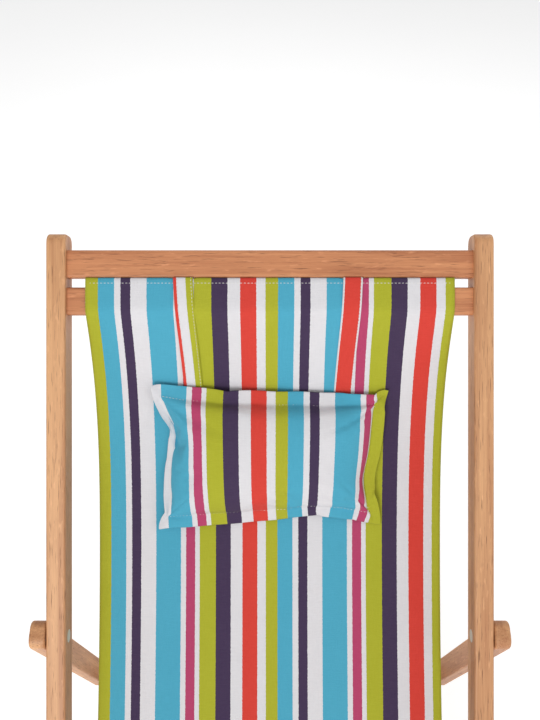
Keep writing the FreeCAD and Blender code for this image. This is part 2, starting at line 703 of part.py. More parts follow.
# ---------------------------------------------------------------- checks and files
doc.recompute()
for thing in doc.Objects:
    if any(word in state for state in thing.State for word in ("Invalid", "Error")):
        raise RuntimeError(f"{thing.Name} failed: {thing.State}")
for thing in subparts:
    if thing.Shape.isNull() or not thing.Shape.isValid() or not thing.Shape.Solids:
        raise RuntimeError(f"{thing.Label} has no sound shape")
    thing.Shape.exportStep(f"parts/{thing.Label}.step")
whole = Part.makeCompound([thing.Shape for thing in subparts]).optimalBoundingBox(False)
print(f"{len(subparts)} nodes, {whole.XLength:.1f} x {whole.YLength:.1f} x {whole.ZLength:.1f} mm")
print(f"y from {whole.YMin:.2f} to {whole.YMax:.2f}, z from {whole.ZMin:.2f}")
print(f"scissor bolt at {PIVOT}, prop bolt at {back_frame.multVec(prop_eye)}")
print(f"seat slope {math.degrees(SEAT):.3f}, prop reach {PROP_REACH:.3f}, ramp {math.degrees(RAMP):.2f}")
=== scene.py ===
# %% [markdown]
# # A folding deck chair in wood and striped canvas
# The chair is three wooden frames that cross at bolts, and one long strip of canvas that hangs
# between two rails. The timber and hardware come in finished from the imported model, and the
# canvas, the head pillow and its straps are made here, because cloth needs a shape of its own.
# Everything is in metres, +Z is up and the sitter faces -Y.

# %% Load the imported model
import json
import math

import bpy
import numpy as np
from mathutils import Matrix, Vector


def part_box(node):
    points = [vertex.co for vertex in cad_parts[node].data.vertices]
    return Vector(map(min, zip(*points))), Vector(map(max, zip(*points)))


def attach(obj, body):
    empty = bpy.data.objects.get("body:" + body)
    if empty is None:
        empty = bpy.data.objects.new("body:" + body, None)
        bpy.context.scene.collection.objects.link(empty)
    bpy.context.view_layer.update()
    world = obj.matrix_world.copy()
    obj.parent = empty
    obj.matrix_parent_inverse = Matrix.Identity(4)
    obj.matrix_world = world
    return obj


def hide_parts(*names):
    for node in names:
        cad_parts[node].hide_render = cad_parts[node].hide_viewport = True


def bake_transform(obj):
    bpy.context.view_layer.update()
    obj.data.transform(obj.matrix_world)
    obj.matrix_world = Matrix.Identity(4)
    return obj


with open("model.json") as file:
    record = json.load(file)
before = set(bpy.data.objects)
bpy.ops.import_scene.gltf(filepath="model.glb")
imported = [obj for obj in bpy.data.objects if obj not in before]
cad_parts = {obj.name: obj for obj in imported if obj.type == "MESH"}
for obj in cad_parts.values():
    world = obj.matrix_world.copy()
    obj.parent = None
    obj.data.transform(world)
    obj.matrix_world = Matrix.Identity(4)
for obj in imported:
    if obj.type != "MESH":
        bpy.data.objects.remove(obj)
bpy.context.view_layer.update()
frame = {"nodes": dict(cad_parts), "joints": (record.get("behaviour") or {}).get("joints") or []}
nodes = frame["nodes"]
hinge = {joint["name"]: np.array(joint["pos_m"], float) for joint in frame["joints"]}

# %% [markdown]
# ## The chair's own directions
# Nothing on a deck chair is level, so each frame gets its own pair of directions in the side
# view: one along its timbers and one square to them. Every shape below is then drawn in plain
# words such as "so far down from the sling rail" and "so far behind the posts".

# %% Directions and places in the side view
LEAN = math.radians(46)          # the back posts above the ground
SLOPE = math.radians(23.585)     # the seat rails below level, towards the rear
SLING_RAIL = 0.757               # scissor bolt to the middle of the upper sling rail
FRONT_RAIL = 0.305               # scissor bolt to the middle of the front sling rail
CLOTH = 0.0012                   # thickness of the canvas
SLING_WIDE = 0.455

bolt = hinge["frame_fold"][1:]
up_back = np.array([math.cos(LEAN), math.sin(LEAN)])
behind_back = np.array([math.sin(LEAN), -math.cos(LEAN)])
along_seat = np.array([math.cos(SLOPE), -math.sin(SLOPE)])
above_seat = np.array([math.sin(SLOPE), math.cos(SLOPE)])


def on_back(points):
    """Side-view places (y, z) of points given as (down from the sling rail, behind the posts)."""
    points = np.asarray(points, float)
    return bolt + np.outer(SLING_RAIL - points[:, 0], up_back) + np.outer(points[:, 1], behind_back)


def on_front_rail(points):
    """Side-view places (y, z) of points given as (rearward of the front rail, above it)."""
    points = np.asarray(points, float)
    return bolt + np.outer(points[:, 0] - FRONT_RAIL, along_seat) + np.outer(points[:, 1], above_seat)


def side_middle(node):
    """The middle of a node's box in the side view, as (y, z)."""
    low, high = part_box(node)
    return (np.array(low) + np.array(high))[1:] / 2


rail_error = on_front_rail([(0, 0)])[0] - side_middle("front_sling_rail")
print("front rail is off by", round(float(np.linalg.norm(rail_error)), 5), "m")

# %% [markdown]
# ## Shader sums written as plain arithmetic
# Stripes, threads and grain are sums on coordinates. Blender does each sum with a Math node, and
# a page of node-making lines hides what is worked out. So a small class wraps a socket, and its
# operators add the nodes: `(x * 40).fract()` reads as what it does, a count that starts again
# at every fortieth of a metre.

# %% A socket that can do sums


class Sum:
    """Wraps one output socket; each operator adds one Math node to the same tree."""

    def __init__(self, tree, socket):
        self.tree, self.socket = tree, socket

    def math(self, operation, *values):
        """The result of a Math node whose inputs are the values, which are numbers or sums."""
        node = self.tree.nodes.new("ShaderNodeMath")
        node.operation = operation
        for place, value in enumerate(values):
            if isinstance(value, Sum):
                self.tree.links.new(value.socket, node.inputs[place])
            else:
                node.inputs[place].default_value = value
        return Sum(self.tree, node.outputs[0])

    def __add__(self, other):
        return self.math("ADD", self, other)

    def __radd__(self, other):
        return self.math("ADD", other, self)

    def __sub__(self, other):
        return self.math("SUBTRACT", self, other)

    def __rsub__(self, other):
        return self.math("SUBTRACT", other, self)

    def __mul__(self, other):
        return self.math("MULTIPLY", self, other)

    def __rmul__(self, other):
        return self.math("MULTIPLY", other, self)

    def fract(self):
        """The part after the decimal point."""
        return self.math("FRACT", self)

    def sine(self):
        """The sine of an angle in radians."""
        return self.math("SINE", self)

    def clamp(self):
        """The value kept between 0 and 1."""
        return self.math("MINIMUM", self.math("MAXIMUM", self, 0.0), 1.0)


class Finish:
    """A material under construction, with one method that adds any node."""

    def __init__(self, name):
        self.material = bpy.data.materials.new(name)
        self.material.use_nodes = True
        self.tree = self.material.node_tree
        self.surface = self.tree.nodes["Principled BSDF"]

    def node(self, kind, settings=None, **sockets):
        """Adds a node: settings first, then its sockets' values or links; returns its outputs.

        A socket is named in the call, with _ for a space, or numbered as _0, _6 and so on.
        """
        node = self.tree.nodes.new(kind)
        for name, value in (settings or {}).items():
            if name == "stops":
                ramp = node.color_ramp
                while len(ramp.elements) < len(value):
                    ramp.elements.new(0.5)
                for element, (place, colour) in zip(ramp.elements, value):
                    element.position = place
                    element.color = (*colour, 1)
            else:
                setattr(node, name, value)
        for name, value in sockets.items():
            key = int(name[1:]) if name[0] == "_" else name.replace("_", " ")
            self.feed(node.inputs[key], value)
        return [Sum(self.tree, output) for output in node.outputs]

    def feed(self, socket, value):
        """Links a sum to a socket, or sets the socket to a plain value."""
        if isinstance(value, Sum):
            self.tree.links.new(value.socket, socket)
        else:
            socket.default_value = value

    def mix(self, factor, first, second, blend="MIX"):
        """A colour between two others; the factor is how much of the second."""
        settings = {"data_type": "RGBA", "blend_type": blend}
        first, second = (c if isinstance(c, Sum) else (*c, 1) for c in (first, second))
        return self.node("ShaderNodeMix", settings, _0=factor, _6=first, _7=second)[2]

    def set(self, **sockets):
        """Sets or links sockets of the surface shader."""
        for name, value in sockets.items():
            self.feed(self.surface.inputs[name.replace("_", " ")], value)
        return self.material


def tone(red, green, blue):
    """A screen colour (0 to 255) as the linear light that shaders use.

    The standard curve for screens is straight near black and a power of 2.4 above it.
    """
    parts = np.array([red, green, blue]) / 255
    return tuple(np.where(parts <= 0.04045, parts / 12.92, ((parts + 0.055) / 1.055) ** 2.4).tolist())

# %% [markdown]
# ## Striped canvas
# The cloth is plain-woven cotton whose stripes are dyed warp threads, so a stripe keeps its width
# all along the strip and ends in a clean edge between two threads. An image would do, but a list
# of widths is exact and can be read: a ramp with constant steps turns the distance across the
# cloth into a colour. The distance comes from the cloth's own UV map, in metres, so that the
# stripes follow every fold. Slubs, the thick places in cotton yarn, vary the colour a little.

# %% The stripes, and the canvas finish made from them
GREEN, BLUE, WHITE = tone(178, 180, 34), tone(74, 172, 200), tone(229, 227, 229)
PLUM, ROSE, RED = tone(62, 42, 78), tone(188, 62, 106), tone(222, 60, 46)
# Each stripe's dye and its width in millimetres, from the cloth's left edge.
STRIPES = [(GREEN, 15.3), (BLUE, 20), (WHITE, 7.8), (PLUM, 12), (WHITE, 19.9), (BLUE, 32.6),
           (WHITE, 7.2), (ROSE, 12), (WHITE, 6.4), (GREEN, 21.5), (PLUM, 19.9), (WHITE, 15.8),
           (RED, 19.9), (WHITE, 11.6)]
REPEAT = sum(width for _, width in STRIPES) / 1000
starts = np.cumsum([0] + [width / 1000 for _, width in STRIPES])[:-1]
EDGE_WANDER = 0.0011             # how far a stripe's edge strays between threads
THREAD_PITCH = 0.0011            # from one thread to the next but one
WEFT_SLUBS, WARP_SLUBS, PATCHES = 1.5, 0.8, 0.5
SHADED, BLEACHED, BLEACH_SHARE = (0.80, 0.80, 0.82), (0.95, 0.94, 0.92), 0.03
THREAD_RISE, CANVAS_DULL, SLUB_DULL = 0.25, 0.82, 0.08
print("stripes repeat every", round(REPEAT, 4), "m")


def canvas(name):
    """Woven cotton: stripes by distance across, slubs by stretched noise, threads as a bump."""
    cloth = Finish(name)
    place = cloth.node("ShaderNodeTexCoord")[2]
    across, along, _ = cloth.node("ShaderNodeSeparateXYZ", Vector=place)
    fray = cloth.node("ShaderNodeTexNoise", Vector=place, Scale=420.0, Detail=1.0)[0]
    share = ((across + (fray - 0.5) * EDGE_WANDER) * (1 / REPEAT)).fract()
    stops = [(start / REPEAT, colour) for start, (colour, _) in zip(starts, STRIPES)]
    dyed = cloth.node("ShaderNodeValToRGB", {"stops": stops}, Fac=share)[0]
    dyed.socket.node.color_ramp.interpolation = "CONSTANT"

    wide = cloth.node("ShaderNodeMapping", Vector=place, Scale=(70.0, 900.0, 1.0))[0]
    tall = cloth.node("ShaderNodeMapping", Vector=place, Scale=(1300.0, 45.0, 1.0))[0]
    weft = cloth.node("ShaderNodeTexNoise", Vector=wide, Scale=1.0, Detail=3.0, Roughness=0.7)[0]
    warp = cloth.node("ShaderNodeTexNoise", Vector=tall, Scale=1.0, Detail=2.0, Roughness=0.6)[0]
    patch = cloth.node("ShaderNodeTexNoise", Vector=place, Scale=16.0, Detail=3.0)[0]
    slubs = (weft - 0.5) * WEFT_SLUBS + (warp - 0.5) * WARP_SLUBS + (patch - 0.5) * PATCHES
    shade = 0.5 + slubs * 0.5
    darker = cloth.mix(1.0, dyed, SHADED, "MULTIPLY")
    lighter = cloth.mix(BLEACH_SHARE, dyed, BLEACHED)
    colour = cloth.mix(shade, darker, lighter)

    thread = 2 * math.pi / THREAD_PITCH
    over = (across * thread).sine() * (along * thread).sine()
    height = over * THREAD_RISE + slubs
    normal = cloth.node("ShaderNodeBump", Height=height, Strength=0.55, Distance=0.0005)[0]
    rough = CANVAS_DULL + slubs * SLUB_DULL
    return cloth.set(Base_Color=colour, Roughness=rough, Normal=normal, Sheen_Weight=0.04,
                     Sheen_Roughness=0.5, Specular_IOR_Level=0.2)


canvas_finish = canvas("striped_canvas")

# %% [markdown]
# ## Oiled hardwood
# The timber is a light reddish hardwood, planed, its edges eased, and oiled, so it has a soft
# shine and its grain shows as colour: slow bands along the timber and fine pores as short dark
# dashes. Pale flecks are painted highlights, glints of light painted into the colour. Solid noise
# stretched along the timber gives all three and runs through to the end faces as real grain does.
# Each timber is its own length cut from some board, so each gets its own place in the noise and
# a slightly different tone.

# %% The wood finish
BOARD_STEP = (3.7, 1.9, 5.3)     # how far apart two boards lie in the noise
RINGS = 7.0                      # dark bands for each full swing of the slow noise
RING_SHARE, FIBRE_SHARE, CLOUD_SHARE = 0.42, 0.62, 0.5
PORE_LEVEL, PORE_EDGE, PORE_DARK = 0.40, 9.0, 0.75
# Painted highlights: the next two lines also set where pale glints of light are painted into the wood's
# colour, and how pale they are.
HIGHLIGHT_LEVEL, HIGHLIGHT_EDGE, HIGHLIGHT_SHARE = 0.60, 6.0, 0.35
PORE_TONE, HIGHLIGHT_GAIN, HIGHLIGHT_LIFT = 0.42, 1.35, 0.05
FIBRE_RISE, PORE_SINK, RING_RISE = 0.5, 0.6, 0.15
OILED, FIBRE_DULL, PORE_DULL = 0.44, 0.16, 0.15


def hardwood(name, turn, board, light, dark):
    """Oiled wood whose grain runs along the object's Z before the turn; board picks the plank."""
    wood = Finish(name)
    place = wood.node("ShaderNodeTexCoord")[3]
    settings = {"vector_type": "TEXTURE"}
    laid = wood.node("ShaderNodeMapping", settings, Vector=place, Rotation=turn)[0]

    def grain(cross, lengthwise, detail, roughness=0.6, twist=0.0):
        """Noise with so many waves a metre across the grain and along it."""
        stretch = wood.node("ShaderNodeMapping", Vector=laid, Scale=(cross, cross, lengthwise),
                            Location=tuple(board * step for step in BOARD_STEP))[0]
        return wood.node("ShaderNodeTexNoise", Vector=stretch, Scale=1.0, Detail=detail,
                         Roughness=roughness, Distortion=twist)[0]

    bands = grain(cross=46.0, lengthwise=1.6, detail=3.0, roughness=0.55, twist=0.6)
    fibres = grain(cross=420.0, lengthwise=9.0, detail=3.0, roughness=0.7)
    pores = grain(cross=900.0, lengthwise=42.0, detail=2.0, roughness=0.5)
    # Noise that places the painted highlights.
    highlight_noise = grain(cross=260.0, lengthwise=60.0, detail=2.0)
    cloud = grain(cross=9.0, lengthwise=3.0, detail=2.0)

    ring = ((bands * RINGS).sine() + 1.0) * 0.5
    body = (ring * RING_SHARE + fibres * FIBRE_SHARE + (cloud - 0.5) * CLOUD_SHARE).clamp()
    colour = wood.node("ShaderNodeValToRGB", {"stops": [(0.18, dark), (0.72, light)]}, Fac=body)[0]
    open_pore = ((PORE_LEVEL - pores) * PORE_EDGE).clamp()
    deep = tuple(part * PORE_TONE for part in dark)
    pored = wood.mix(open_pore * PORE_DARK, colour, deep)
    # Painted highlights: pale glints of light painted into the colour where that noise is high.
    painted_glint = ((highlight_noise - HIGHLIGHT_LEVEL) * HIGHLIGHT_EDGE).clamp()
    highlight_colour = tuple(min(1.0, part * HIGHLIGHT_GAIN + HIGHLIGHT_LIFT) for part in light)
    colour = wood.mix(painted_glint * HIGHLIGHT_SHARE, pored, highlight_colour)

    height = fibres * FIBRE_RISE - open_pore * PORE_SINK + ring * RING_RISE
    normal = wood.node("ShaderNodeBump", Height=height, Strength=0.35, Distance=0.0004)[0]
    rough = OILED + fibres * FIBRE_DULL + open_pore * PORE_DULL
    return wood.set(Base_Color=colour, Roughness=rough, Normal=normal, Coat_Weight=0.06,
                    Coat_Roughness=0.35)


ALONG_X = (0.0, math.pi / 2, 0.0)
ALONG_BACK = (-(math.pi / 2 - LEAN), 0.0, 0.0)
ALONG_SEAT = (-(math.pi / 2 + SLOPE), 0.0, 0.0)
prop_line = side_middle("prop_bar") - hinge["prop_swing"][1:]
ALONG_PROP = (math.atan2(-prop_line[0], prop_line[1]), 0.0, 0.0)
POST_TONES = (tone(216, 163, 115), tone(170, 112, 72))
RAIL_TONES = (tone(216, 147, 99), tone(166, 99, 61))
# Each timber's grain direction, its board, and its light and dark tones.
TIMBERS = {
    "back_post_left": (ALONG_BACK, 1.0, POST_TONES), "back_post_right": (ALONG_BACK, 2.3, POST_TONES),
    "seat_rail_left": (ALONG_SEAT, 3.1, POST_TONES), "seat_rail_right": (ALONG_SEAT, 4.7, POST_TONES),
    "prop_strut_left": (ALONG_PROP, 5.9, POST_TONES), "prop_strut_right": (ALONG_PROP, 6.4, POST_TONES),
    "top_rail": (ALONG_X, 7.7, RAIL_TONES), "upper_sling_rail": (ALONG_X, 8.2, RAIL_TONES),
    "foot_rail": (ALONG_X, 9.6, RAIL_TONES), "front_sling_rail": (ALONG_X, 10.1, RAIL_TONES),
    "rear_stretcher": (ALONG_X, 11.9, RAIL_TONES), "prop_bar": (ALONG_X, 12.5, RAIL_TONES),
    "back_frame_dowels": (ALONG_X, 13.3, POST_TONES), "seat_frame_dowels": (ALONG_X, 14.8, POST_TONES),
}


def dress(name, material):
    """Gives a node of the model one material in place of its own."""
    nodes[name].data.materials.clear()
    nodes[name].data.materials.append(material)


for name, (turn, board, (light, dark)) in TIMBERS.items():
    dress(name, hardwood(name + "_wood", turn, board, light, dark))
print(len(TIMBERS), "timbers have their own grain")

# %% [markdown]
# ## Zinc-plated hardware
# Bolts, barrel nuts, washers and the bar's end screws are small steel turnings. Their plating is
# slightly cloudy and is rubbed by the spanner, so the colour and roughness vary over a few
# millimetres, and a very fine bump of noise roughens the surface.

# %% The metal finish
CLOUDED, POLISHED, RUBBED = 0.8, 0.24, 0.22


def plated(name, colour):
    """Satin metal: cloudy colour and roughness, and a fine bump of noise."""
    metal = Finish(name)
    place = metal.node("ShaderNodeTexCoord")[3]
    cloud = metal.node("ShaderNodeTexNoise", Vector=place, Scale=180.0, Detail=3.0)[0]
    fine = metal.node("ShaderNodeTexNoise", Vector=place, Scale=2200.0, Detail=1.0)[0]
    shaded = metal.mix(cloud, tuple(part * CLOUDED for part in colour), colour)
    normal = metal.node("ShaderNodeBump", Height=fine, Strength=0.12, Distance=0.0002)[0]
    return metal.set(Base_Color=shaded, Metallic=1.0, Roughness=POLISHED + cloud * RUBBED,
                     Normal=normal)


zinc = plated("zinc_plate", (0.62, 0.62, 0.60))
HARDWARE = ("pivot_bolts", "pivot_nuts", "pivot_washers", "prop_bolts", "prop_nuts", "prop_washers",
            "prop_bar_screws")
for name in HARDWARE:
    dress(name, zinc)

# %% [markdown]
# ## Grids, curves and cloth
# All the cloth here is a grid: one direction runs along the strip and the other across it. The
# strip's line in the side view is drawn with a few poles and rounded by a B-spline, which never
# overshoots, so a sleeve round a rail stays close to it. The line is then walked at even steps,
# because stripes and threads must not stretch.

# %% Helpers for curves and grids
LAST_MOMENT = 1 - 1e-9           # a curve's end, just inside its last knot


def b_spline(poles, count, degree=3):
    """Points on a clamped uniform B-spline, by the Cox-de Boor rule on whole arrays.

    Each basis curve of one degree is a sloping mix of two of the degree below, beginning with
    boxes that are 1 between two knots; a point is the poles weighted by the last curves.
    """
    poles = np.asarray(poles, float)
    inner = np.linspace(0, 1, len(poles) - degree + 1)
    knots = np.concatenate([np.zeros(degree), inner, np.ones(degree)])
    at = np.linspace(0, LAST_MOMENT, count)
    basis = ((knots[:-1] <= at[:, None]) & (at[:, None] < knots[1:])).astype(float)
    for d in range(1, degree + 1):
        left_span, right_span = knots[d:-1] - knots[:-d - 1], knots[d + 1:] - knots[1:-d]
        left = np.divide(at[:, None] - knots[:-d - 1], left_span, where=left_span > 0,
                         out=np.zeros((count, len(left_span))))
        right = np.divide(knots[d + 1:] - at[:, None], right_span, where=right_span > 0,
                          out=np.zeros((count, len(right_span))))
        basis = left * basis[:, :-1] + right * basis[:, 1:]
    return basis @ poles


def between_rows(at, walked, values):
    """Values known at each distance walked (one column each), read off at other distances."""
    return np.stack([np.interp(at, walked, values[:, k]) for k in range(values.shape[1])], -1)


def even_steps(points, count):
    """The same line walked at even steps of length, and the distance walked to each point."""
    walked = np.concatenate([[0], np.cumsum(np.linalg.norm(np.diff(points, axis=0), axis=1))])
    at = np.linspace(0, walked[-1], count)
    return between_rows(at, walked, points), at


def sideways(line):
    """Unit vectors square to a side-view line, on the sitter's side of a sling drawn from its top."""
    step = np.gradient(line, axis=0)
    step /= np.linalg.norm(step, axis=1)[:, None]
    return np.stack([step[:, 1], -step[:, 0]], 1)


def in_chair(across, side):
    """Points (x, y, z) from distances across the chair and side-view places (y, z)."""
    return np.concatenate([np.broadcast_to(across, side.shape[:-1])[..., None], side], -1)


def in_scene(name, data):
    """An object that shows this mesh, lamp or camera, put into the scene."""
    piece = bpy.data.objects.new(name, data)
    bpy.context.scene.collection.objects.link(piece)
    return piece


def surface(name, points, faces, material, uv=None):
    """A smooth-shaded mesh; uv gives each point its (across, along) on the flat cloth."""
    mesh = bpy.data.meshes.new(name)
    mesh.from_pydata(points.reshape(-1, 3), [], faces)
    if uv is not None:
        corner_uv = uv.reshape(-1, 2)[np.asarray(faces).reshape(-1)]
        layer = mesh.uv_layers.new(name="cloth")
        layer.data.foreach_set("uv", corner_uv.astype(np.float32).reshape(-1))
    mesh.polygons.foreach_set("use_smooth", np.ones(len(mesh.polygons), bool))
    mesh.materials.append(material)
    mesh.update()
    return in_scene(name, mesh)


def cells(grid):
    """The quads of a grid of vertex numbers, one row of four numbers each."""
    return np.stack([grid[:-1, :-1], grid[:-1, 1:], grid[1:, 1:], grid[1:, :-1]], -1).reshape(-1, 4)


def grid_mesh(name, points, material, uv):
    """A surface from an array of points (rows, columns, 3)."""
    rows, columns = points.shape[:2]
    quads = cells(np.arange(rows * columns).reshape(rows, columns))
    return surface(name, points, quads.tolist(), material, uv)


def thicken(piece, thick):
    """Gives a sheet its real thickness, half on each side."""
    solid = piece.modifiers.new("thickness", "SOLIDIFY")
    solid.thickness, solid.offset = thick, 0.0
    solid.use_even_offset = False
    return piece

# %% [markdown]
# ## The sling
# The sling is one strip of canvas. Its top end is sewn into a sleeve round the upper sling rail,
# with both layers pinched into a standing fold that is stitched through, and its lower end is a
# sleeve round the front rail. Between them it hangs: nearly straight down the back, then in a
# deep bend that becomes the seat. A simulation would need the strip's real stiffness to land in
# the same bend, so the line is drawn with poles instead, the same as the chair's plan has.
# Small swells are then added square to the cloth: side hems, and slight slack near the fold.

# %% The sling's line in the side view, from the hem under the top sleeve to the front rail
TOP_SLEEVE = [(0.0186, -0.0085), (0.0188, 0.0060), (0.0186, 0.0138), (0.0180, 0.0138), (0.0, 0.0137),
              (-0.0180, 0.0138), (-0.0186, 0.0134), (-0.0188, 0.0060), (-0.0189, -0.0060),
              (-0.0197, -0.0108), (-0.0215, -0.0113), (-0.0276, -0.0114), (-0.0276, -0.0136),
              (-0.0215, -0.0138), (-0.0150, -0.0138), (0.0, -0.0138), (0.0100, -0.0138)]
HANG = [(0.018, -0.011), (0.069, 0.027), (0.190, 0.075), (0.386, 0.077), (0.564, 0.060),
        (0.791, 0.042), (0.914, 0.014), (0.880, -0.215)]
FRONT_SLEEVE = [(0.0196, 0.0060), (0.0186, 0.0134), (0.0180, 0.0138), (0.0, 0.0138),
                (-0.0180, 0.0138), (-0.0186, 0.0132), (-0.0188, 0.0), (-0.0186, -0.0132),
                (-0.0180, -0.0138), (0.0, -0.0138), (0.0170, -0.0138), (0.0184, -0.0126),
                (0.0184, -0.0030)]
sling_poles = np.vstack([on_back(TOP_SLEEVE), on_back(HANG), on_front_rail(FRONT_SLEEVE)])
FINE_POINTS = 6000
ROWS, COLUMNS = 430, 84
sling_line, walked = even_steps(b_spline(sling_poles, FINE_POINTS), ROWS)
SLING_LONG = float(walked[-1])
to_sitter = sideways(sling_line)
print("the sling's strip is", round(SLING_LONG, 3), "m long and", SLING_WIDE, "m wide")


def down_from_rail(points):
    """How far side-view points lie below the upper sling rail, measured along the posts."""
    return SLING_RAIL - (points - bolt) @ up_back


down = down_from_rail(sling_line)
tip = int(np.argmin(down))
UNDER_RAIL = 0.018               # the cloth is free of the upper rail this far down
top_leave = tip + int(np.argmax(down[tip:] > UNDER_RAIL))
print("the standing fold's tip is", round(float(walked[tip]), 3), "m along")

# %% The sling's surface


def ease(value):
    """0 below 0, 1 above 1 and a smooth step between."""
    value = np.clip(value, 0, 1)
    return value * value * (3 - 2 * value)


def waves(distance, length, start=0.0):
    """A sine wave of this length; start is where in its turn it begins, in radians."""
    return np.sin(2 * np.pi * distance / length + start)


x = np.linspace(-SLING_WIDE / 2, SLING_WIDE / 2, COLUMNS)
HEM, HEM_EDGE, HEM_STEP = 0.009, 0.0008, 0.0004
side_bands = np.array([0, HEM / 2, HEM - HEM_EDGE, HEM + HEM_EDGE])
x[:4], x[-4:] = side_bands - SLING_WIDE / 2, SLING_WIDE / 2 - side_bands[::-1]
edge = SLING_WIDE / 2 - np.abs(x)
hem_step = HEM_STEP * (1 - ease((edge - HEM + HEM_EDGE) / (2 * HEM_EDGE)))

SLEEVE_TAIL, FADE = 0.13, 0.10   # the front sleeve's share of the strip, and how soon swells grow
free = ease((walked - walked[top_leave]) / FADE) * ease((SLING_LONG - SLEEVE_TAIL - walked) / FADE)
SLACK_REACH, SLACK_START = 0.11, 0.02
below_fold = np.clip(walked - walked[tip], 0, None)
slack = np.exp(-below_fold / SLACK_REACH) * ease((walked - walked[top_leave]) / SLACK_START)

SLACK_DEEP, HOLLOW_DEEP, ROLL_DEEP = 0.0007, 0.0010, 0.0007
EDGE_DROP, EDGE_REACH, SMALLER = 0.0022, 0.016, 0.6
ripple = waves(x, length=0.094, start=0.9) + SMALLER * waves(x, length=0.051, start=2.2)
swell = SLACK_DEEP * np.outer(slack, ripple)
swell += HOLLOW_DEEP * np.outer(free, waves(x, length=0.31, start=0.5))
swell += ROLL_DEEP * np.outer(free * waves(walked, length=0.37),
                              waves(x, length=0.23, start=np.pi / 2))
swell -= np.outer(free, EDGE_DROP * np.exp(-edge / EDGE_REACH))
swell += hem_step[None, :]

FOLD_RISE, FOLD_FOOT, FOLD_EASE = 0.0016, 0.0200, 0.0050
STRAP_TOPS, PRESS_REACH = (-0.1075, 0.1025), 0.0145    # where the straps press the fold down
stands = ease((-FOLD_FOOT - down) / FOLD_EASE)
pressed = sum(np.exp(-((x - top) / PRESS_REACH) ** 6) for top in STRAP_TOPS)
rise = FOLD_RISE * np.outer(stands, 1 - pressed)
side = (sling_line[:, None, :] + swell[..., None] * to_sitter[:, None, :] + rise[..., None] * up_back)
sling_uv = np.dstack(np.meshgrid(x + SLING_WIDE / 2, walked))
sling = thicken(grid_mesh("canvas_sling", in_chair(x, side), canvas_finish, sling_uv), CLOTH)
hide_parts("sling_back", "sling_seat")

# %% [markdown]
# ## Stitching
# Seams on canvas are lock-stitched: each stitch is a short raised thread that dips into the cloth
# at both ends. A painted dash would vanish at a low angle, so each stitch is a small spindle of
# real geometry with few faces, laid along the seam at even steps.

# %% Stitches along a line
STITCH, GAP, THREAD = 0.0030, 0.0014, 0.00034          # a stitch, the gap to the next, its radius
THREAD_DULL, TWIST_DULL = 0.75, 0.1
thread = Finish("cotton_thread")
thread_place = thread.node("ShaderNodeTexCoord")[3]
twist = thread.node("ShaderNodeTexNoise", Vector=thread_place, Scale=2600.0, Detail=1.0)[0]
thread_colour = thread.mix(twist, tone(196, 194, 190), tone(238, 236, 232))
thread_finish = thread.set(Base_Color=thread_colour, Roughness=THREAD_DULL + twist * TWIST_DULL)
PATH_POINTS, SIDES = 1200, 6
STATIONS = np.array([-0.5, -0.22, 0.22, 0.5])          # along a stitch, in stitch lengths
PLUMP = np.array([0.35, 1.0, 1.0, 0.35])               # its radius there, in thread radii
LIFTED = np.array([-0.6, 0.5, 0.5, -0.6])              # how far it stands off, in thread radii


def stitches(name, line, normal):
    """Spindles along a line: a ring of corners at each station, thick and raised in the middle."""
    path, at = even_steps(np.asarray(line, float), PATH_POINTS)
    count = int(at[-1] / (STITCH + GAP))
    centre = (np.arange(count) + 0.5) * at[-1] / count
    spine = between_rows(centre[:, None] + STATIONS * STITCH, at, path)
    step = spine[:, -1] - spine[:, 0]
    step /= np.linalg.norm(step, axis=1)[:, None]
    out = between_rows(centre, np.linspace(0, at[-1], len(normal)), normal)
    out /= np.linalg.norm(out, axis=1)[:, None]
    across = np.cross(step, out)
    turn = np.arange(SIDES) * 2 * np.pi / SIDES
    ring = (np.cos(turn)[:, None] * across[:, None, None, :]
            + np.sin(turn)[:, None] * out[:, None, None, :])
    points = (spine[:, :, None, :] + THREAD * PLUMP[:, None, None] * ring
              + THREAD * LIFTED[:, None, None] * out[:, None, None, :])
    corners = len(STATIONS) * SIDES
    base = np.arange(corners).reshape(len(STATIONS), SIDES)
    sides = cells(np.hstack([base, base[:, :1]]))[:, ::-1]
    ends = np.stack([base[0], base[-1][::-1]])
    first = corners * np.arange(count)[:, None, None]
    faces = (sides + first).reshape(-1, 4).tolist() + (ends + first).reshape(-1, SIDES).tolist()
    return surface(name, points, faces, thread_finish)


def row_across(place, low, high):
    """A seam straight across the sling at one distance along it, and its outward direction."""
    across = np.linspace(low, high, COLUMNS)
    level = np.full(COLUMNS, place)
    outward = in_chair(0.0, between_rows(level, walked, to_sitter))
    return in_chair(across, between_rows(level, walked, sling_line)) + outward * CLOTH / 2, outward


SEAM_UNDER_TIP, SEAM_END = 0.0068, 0.004
seam_reach = SLING_WIDE / 2 - SEAM_END
seam_line, seam_out = row_across(float(walked[tip]) + SEAM_UNDER_TIP, -seam_reach, seam_reach)
fold_stitches = stitches("fold_stitching", seam_line, seam_out)
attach(fold_stitches, "back_frame")

# %% [markdown]
# ## The pillow's straps
# Two narrow strips of the same canvas, folded and stitched along both edges, are sewn into the
# pillow's top seam. They run up the front of the sling, over its standing fold and hang down
# behind it. They drift together a little towards the pillow. A strap is too thin for a
# simulation to keep, so each is a strip carried along a line that follows the cloth under it.

# %% The straps
STRAP_WIDE, STRAP_THICK = 0.024, 0.0014
AIR = 0.0004                                   # between a strap and the cloth it lies on
LIE = (CLOTH + STRAP_THICK) / 2 + AIR          # middle of the strap above the sling's middle
# Over the standing fold, as (down from the sling rail, behind the posts).
OVER_FOLD = [(0.0100, -0.0160), (-0.0120, -0.0161), (-0.0200, -0.0161), (-0.0262, -0.0160),
             (-0.0285, -0.0150), (-0.0287, -0.0120), (-0.0270, -0.0095), (-0.0224, -0.0086),
             (-0.0212, -0.0040), (-0.0210, 0.0080), (-0.0200, 0.0156), (-0.0120, 0.0160),
             (0.0080, 0.0162), (0.0200, 0.0172)]


